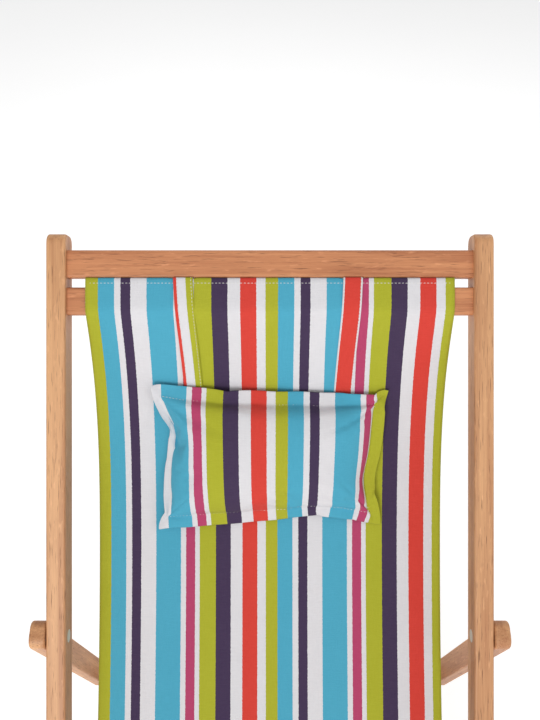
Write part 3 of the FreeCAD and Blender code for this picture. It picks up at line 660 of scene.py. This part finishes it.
def beside_sling(places, lift):
    """Side-view points this far down the hanging sling, lifted off it towards the sitter."""
    hanging = down[top_leave:]
    at = np.interp(places, hanging, walked[top_leave:])
    return between_rows(at, walked, sling_line) + between_rows(at, walked, to_sitter) * lift


FRONT_RUN = np.array([0.118, 0.100, 0.080, 0.062, 0.046, 0.032])     # up from under the pillow
REAR_RUN = np.array([0.040, 0.060, 0.085, 0.110, 0.130])             # down behind the sling
STRAP_POINTS, STRAP_ROWS, STRAP_COLUMNS = 1500, 150, 9
strap_poles = np.vstack([beside_sling(FRONT_RUN, LIE), on_back(OVER_FOLD),
                         beside_sling(REAR_RUN, -LIE)])
strap_line, strap_walked = even_steps(b_spline(strap_poles, STRAP_POINTS), STRAP_ROWS)
strap_out = sideways(strap_line) * -1
crest = int(np.argmin(down_from_rail(strap_line)))
STRAP_LONG = float(strap_walked[-1])
# Each strap's place across the chair at the pillow and at the fold, the place in the stripes
# that it was cut from, and its two rows of stitches, measured from its middle.
STRAPS = {"pillow_strap_left": (-0.0985, STRAP_TOPS[0], 0.2067, (-0.0072, 0.0098)),
          "pillow_strap_right": (0.0945, STRAP_TOPS[1], 0.1886, (-0.0111, 0.0098))}
TAIL_SPREAD = 1.02               # the tails end a little further apart
UNDER_PILLOW = 3                 # rows at the strap's low end that have no stitches
across = np.linspace(-STRAP_WIDE / 2, STRAP_WIDE / 2, STRAP_COLUMNS)
for name, (low_x, top_x, first_stripe, rows) in STRAPS.items():
    drift = np.interp(strap_walked, [0, strap_walked[crest], STRAP_LONG],
                      [low_x, top_x, top_x * TAIL_SPREAD])
    side = np.broadcast_to(strap_line[:, None, :], (STRAP_ROWS, STRAP_COLUMNS, 2))
    strap_points = in_chair(drift[:, None] + across, side)[:, ::-1]
    strap_uv = np.dstack(np.meshgrid(across + STRAP_WIDE / 2 + first_stripe, strap_walked))[:, ::-1]
    strap = thicken(grid_mesh(name + "_cloth", strap_points, canvas_finish, strap_uv), STRAP_THICK)
    ease_edges = strap.modifiers.new("soft_edges", "BEVEL")
    ease_edges.width, ease_edges.segments, ease_edges.limit_method = 0.0005, 2, "ANGLE"
    for word, inset in zip(("first", "second"), rows):
        line = in_chair(drift + inset, strap_line + strap_out * STRAP_THICK / 2)[UNDER_PILLOW:]
        out = in_chair(0.0, strap_out)[UNDER_PILLOW:]
        seam = stitches(f"{name}_{word}_stitching", line, out)
        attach(seam, "back_frame")
    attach(strap, "back_frame")
    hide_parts(name)
print("each strap is", round(STRAP_LONG, 3), "m long")

# %% [markdown]
# ## The head pillow
# The pillow is two rectangles of canvas sewn together on a line a finger's width inside their
# edges, so a flat flange stands out all round, and the bag inside the seam is stuffed. Filling it
# pulls the sides in between the corners and puckers the seam. Blender's cloth does that from a
# flat bag: pressure acts inside the seam only, and short threads tie the two layers along it.
# The grid keeps its UV map through the simulation, so the stripes bend as the cloth does.

# %% A flat bag: two layers that meet at the outer edge
PILLOW_WIDE, PILLOW_HIGH = 0.314, 0.209
PILLOW_DOWN, PILLOW_SHIFT = 0.1968, 0.003      # its middle: below the sling rail, right of centre
ACROSS, UPWARD = 91, 59
FLANGE_TOP, FLANGE_LOW, FLANGE_LEFT, FLANGE_RIGHT = 0.0165, 0.0165, 0.0095, 0.0190
flat_x = np.linspace(-PILLOW_WIDE / 2, PILLOW_WIDE / 2, ACROSS)
flat_z = np.linspace(-PILLOW_HIGH / 2, PILLOW_HIGH / 2, UPWARD)


def nearest(places, place):
    """The number of the grid line that is nearest to a place."""
    return int(np.argmin(np.abs(places - place)))


left_seam = nearest(flat_x, FLANGE_LEFT - PILLOW_WIDE / 2)
right_seam = nearest(flat_x, PILLOW_WIDE / 2 - FLANGE_RIGHT)
low_seam = nearest(flat_z, FLANGE_LOW - PILLOW_HIGH / 2)
top_seam = nearest(flat_z, PILLOW_HIGH / 2 - FLANGE_TOP)
grid_x, grid_z = np.meshgrid(flat_x, flat_z)


def across_bag(grid, low, high):
    """From -1 at one seam to 1 at the opposite seam, and level beyond them."""
    return np.clip((grid - low) / (high - low), 0, 1) * 2 - 1


bag_x = across_bag(grid_x, flat_x[left_seam], flat_x[right_seam])
bag_z = across_bag(grid_z, flat_z[low_seam], flat_z[top_seam])
crown = (1 - bag_x ** 2) * (1 - bag_z ** 2)
LAYER, FIRST_CROWN = 0.0008, 0.004             # half the flange's thickness; the bag before filling
front_layer = np.dstack([grid_x, grid_z, LAYER + FIRST_CROWN * crown])
back_layer = front_layer * np.array([1, 1, -1])
index = np.arange(UPWARD * ACROSS).reshape(UPWARD, ACROSS)
inner = np.zeros_like(index, bool)
inner[1:-1, 1:-1] = True
back_index = index.copy()
back_index[inner] = UPWARD * ACROSS + np.arange(inner.sum())
bag_points = np.vstack([front_layer.reshape(-1, 3), back_layer[inner]])
quads = np.vstack([cells(index), cells(back_index)[:, ::-1]])
ring = np.zeros_like(index, bool)
ring[[low_seam, top_seam], left_seam:right_seam + 1] = True
ring[low_seam:top_seam + 1, [left_seam, right_seam]] = True
threads = np.column_stack([index[ring], back_index[ring]])
print("the bag has", len(quads), "quads and", len(threads), "seam threads")

# %% Fill it
SLACK, FURTHEST = 0.72, 0.032        # how full the bag is, and the furthest a point may move
LAST_FRAME = 26


def fill_bag(points):
    """Cloth under pressure inside the seam; returns each point moved the share SLACK of the way to
    where it settled, with that move first cut to at most FURTHEST.
    """
    mesh = bpy.data.meshes.new("bag")
    mesh.from_pydata(points, threads.tolist(), quads.tolist())
    mesh.update()
    bag = in_scene("bag", mesh)
    inside = bag.vertex_groups.new(name="inside")
    stuffed = np.unique(np.concatenate([index[crown > 0], back_index[crown > 0]]))
    inside.add(stuffed.tolist(), 1.0, "REPLACE")
    cloth = bag.modifiers.new("cloth", "CLOTH")
    settings = cloth.settings
    settings.quality, settings.mass = 7, 0.25
    settings.tension_stiffness = settings.compression_stiffness = 40.0
    settings.shear_stiffness, settings.bending_stiffness = 12.0, 0.6
    settings.tension_damping = settings.compression_damping = 12.0
    settings.use_pressure, settings.uniform_pressure_force = True, 5.0
    settings.vertex_group_pressure = "inside"
    settings.effector_weights.gravity = 0.0
    cloth.collision_settings.use_self_collision = False
    scene = bpy.context.scene
    cloth.point_cache.frame_start, cloth.point_cache.frame_end = 1, LAST_FRAME
    for frame_number in range(1, LAST_FRAME + 1):
        scene.frame_set(frame_number)
    settled = bag.evaluated_get(bpy.context.evaluated_depsgraph_get()).data
    result = np.empty(len(settled.vertices) * 3)
    settled.vertices.foreach_get("co", result)
    scene.frame_set(1)
    bpy.data.objects.remove(bag)
    result = result.reshape(-1, 3)
    move = result - points
    reach = np.linalg.norm(move, axis=1)[:, None]
    return points + SLACK * move * FURTHEST / np.maximum(reach, FURTHEST)


filled = fill_bag(bag_points)
print("the filled bag is", np.round(np.ptp(filled, axis=0), 4), "m")

# %% [markdown]
# A few moves follow, all as smooth functions: each side has one deep pinch where the
# stuffing has drawn the flange in, the flange is pressed flat to two layers, and the back lies
# flat on the sling while the flange at the top comes down to the straps.

# %% Pinches, flange and rest
front = filled[index]
back = filled[back_index]
flange = (crown <= 0) & ~ring
middle_layer = (front + back) / 2
edge_left = grid_x + PILLOW_WIDE / 2
edge_right = PILLOW_WIDE / 2 - grid_x
PINCH_LONG = 0.030               # half the length of a pinch along the pillow's side


def pinch(height, reach, edge):
    """How much a side is drawn in: a bell along the side that fades towards the middle."""
    return np.exp(-np.abs((grid_z - height) / PINCH_LONG) ** 1.6) * np.exp(-(edge / reach) ** 2)


def curl(deep, reach, edge):
    """How far an edge lifts off the sling: a bell that is highest at the edge itself."""
    return deep * np.exp(-(edge / reach) ** 2)


PULL_LEFT, PULL_RIGHT, CREASE_LEFT, CREASE_RIGHT = 0.0075, 0.0060, 0.009, 0.007
CREASE_IN_LEFT, CREASE_IN_RIGHT = FLANGE_LEFT * 1.2, FLANGE_RIGHT * 1.1
in_left, in_right = np.abs(edge_left - CREASE_IN_LEFT), np.abs(edge_right - CREASE_IN_RIGHT)
pull = (PULL_LEFT * pinch(height=0.024, reach=0.045, edge=edge_left)
        - PULL_RIGHT * pinch(height=-0.030, reach=0.045, edge=edge_right))
crease = (CREASE_LEFT * pinch(height=0.022, reach=0.016, edge=in_left)
          + CREASE_RIGHT * pinch(height=-0.028, reach=0.018, edge=in_right))
flare = (curl(deep=0.0045, reach=0.007, edge=edge_left)
         + curl(deep=0.003, reach=0.010, edge=edge_right))
WAVE_DEEP, WAVE_LONG, SEAM_NEAR = 0.0011, 0.058, 0.75
near_seam = ease((np.abs(bag_z) - SEAM_NEAR) / (1 - SEAM_NEAR))
wave = WAVE_DEEP * waves(grid_x, WAVE_LONG, start=1.1) * near_seam
TALLER, NARROWER = 0.045, 0.022  # the left end is taller, the lower edge is narrower
taller = 1 - TALLER * grid_x / (PILLOW_WIDE / 2)
narrower = 1 + NARROWER * grid_z / (PILLOW_HIGH / 2)
flange_half = LAYER * np.where(inner, 1.0, 0.0)
shaped = []
for sheet, sign in ((front, 1), (back, -1)):
    flat_part = middle_layer + np.array([0, 0, sign]) * flange_half[..., None]
    sheet = np.where(flange[..., None] | ring[..., None], flat_part, sheet)
    height = sheet[..., 2] - crease * (sign > 0) + flare + wave
    shaped.append(np.dstack([sheet[..., 0] * narrower + pull, sheet[..., 1] * taller, height]))
front, back = shaped
REST_EDGE, REST_MIDDLE = 0.0065, 0.0135        # the middle layer's height at the edge, and more inside
toward_side, toward_end = grid_x / (PILLOW_WIDE / 2), grid_z / (PILLOW_HIGH / 2)
rest_height = REST_EDGE + REST_MIDDLE * (1 - toward_side ** 4) * (1 - toward_end ** 4)
middle_place = float(np.interp(PILLOW_DOWN, down[top_leave:], walked[top_leave:]))
CLEAR = 0.0036                                 # no point comes nearer to the sling's middle
CUT_FROM = 0.2182                              # the stripe at the pillow's middle, across the cloth


def onto_sling(local, least):
    """Local (across, up, out) to the chair: up runs along the sling, out leaves it squarely."""
    place = middle_place - local[..., 1]
    lift = np.maximum(local[..., 2] + rest_height, least)[..., None]
    side = between_rows(place, walked, sling_line) + between_rows(place, walked, to_sitter) * lift
    return in_chair(local[..., 0] + PILLOW_SHIFT, side)


front_at = onto_sling(front, CLEAR + 2 * LAYER * inner)
back_at = onto_sling(back, CLEAR)
pillow_points = np.vstack([front_at.reshape(-1, 3), back_at[inner]])
flat_uv = np.dstack([grid_x + CUT_FROM, grid_z])
pillow_uv = np.vstack([flat_uv.reshape(-1, 2), flat_uv[inner]])
pillow = surface("striped_pillow", pillow_points, quads.tolist(), canvas_finish, pillow_uv)
smooth = pillow.modifiers.new("smooth", "SUBSURF")
smooth.levels = smooth.render_levels = 1

# %% The pillow's stitching, and the frame that carries the pillow
SEAM_LIFT = 0.0003               # the thread stands this far off the layer


def seam_row(name, rows, columns):
    """Stitches along one side of the seam, on the front layer."""
    line = front_at[rows, columns]
    out = in_chair(0.0, between_rows(middle_place - front[rows, columns, 1], walked, to_sitter))
    piece = stitches(name, line + out * SEAM_LIFT, out)
    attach(piece, "back_frame")
    return piece


run_x, run_z = np.arange(left_seam, right_seam + 1), np.arange(low_seam, top_seam + 1)
seam_row("pillow_top_stitching", np.full(len(run_x), top_seam), run_x)
seam_row("pillow_low_stitching", np.full(len(run_x), low_seam), run_x)
seam_row("pillow_left_stitching", run_z, np.full(len(run_z), left_seam))
seam_row("pillow_right_stitching", run_z, np.full(len(run_z), right_seam))
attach(pillow, "back_frame")
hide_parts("pillow")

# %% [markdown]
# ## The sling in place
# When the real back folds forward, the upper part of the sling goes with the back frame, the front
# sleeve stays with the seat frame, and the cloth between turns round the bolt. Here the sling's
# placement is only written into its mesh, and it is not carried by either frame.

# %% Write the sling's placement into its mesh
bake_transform(sling)

# %% [markdown]
# ## Floor, light and camera
# A pale, plain floor and large soft lights show form and colour without drawing attention. The
# camera looks square at the back frame from the sitter's side, a little over a metre away, so
# the posts stand upright in the view.

# %% Floor, light and camera
FLOOR_REACH = 30.0
paper = Finish("paper")
paper_place = paper.node("ShaderNodeTexCoord")[3]
mottle = paper.node("ShaderNodeTexNoise", Vector=paper_place, Scale=3.0, Detail=2.0)[0]
PAPER_GREY, PAPER_PALE = (0.88, 0.88, 0.88), (0.90, 0.90, 0.90)
paper.set(Base_Color=paper.mix(mottle, PAPER_GREY, PAPER_PALE), Roughness=0.9,
          Emission_Color=(1.0, 1.0, 1.0, 1.0), Emission_Strength=0.40)
floor_corners = np.array([(-1, -1, 0), (1, -1, 0), (1, 1, 0), (-1, 1, 0)]) * FLOOR_REACH
floor = surface("floor", floor_corners, [(0, 1, 2, 3)], paper.material)

world = bpy.data.worlds.new("studio")
world.use_nodes = True
sky = world.node_tree.nodes["Background"].inputs
sky["Color"].default_value, sky["Strength"].default_value = (1.0, 1.0, 1.0, 1.0), 0.47
bpy.context.scene.world = world
bpy.context.scene.view_settings.view_transform = "Standard"


def soft_light(name, place, target, wide, power):
    """A square area light at a place, turned to face a target."""
    lamp = bpy.data.lights.new(name, "AREA")
    lamp.shape, lamp.size, lamp.energy = "SQUARE", wide, power
    light = in_scene(name, lamp)
    light.location = place
    light.rotation_euler = (Vector(target) - Vector(place)).to_track_quat("-Z", "Y").to_euler()


middle = (0.0, 0.1, 0.5)
soft_light("key", place=(-0.7, -2.5, 1.6), target=middle, wide=1.3, power=47.0)
soft_light("fill", place=(1.8, -1.2, 2.2), target=middle, wide=2.2, power=13.0)
soft_light("rim", place=(0.3, 2.2, 2.2), target=middle, wide=1.6, power=18.0)

CAMERA_DOWN, CAMERA_AWAY, FOCAL = 0.0728, 1.051, 42.1
eye = on_back([(CAMERA_DOWN, -CAMERA_AWAY)])[0]
lens = bpy.data.cameras.new("camera")
lens.lens, lens.sensor_width, lens.clip_end = FOCAL, 36.0, 50.0
camera = in_scene("camera", lens)
camera.location = (0.0, float(eye[0]), float(eye[1]))
camera.rotation_euler = (LEAN, 0.0, 0.0)
bpy.context.scene.camera = camera
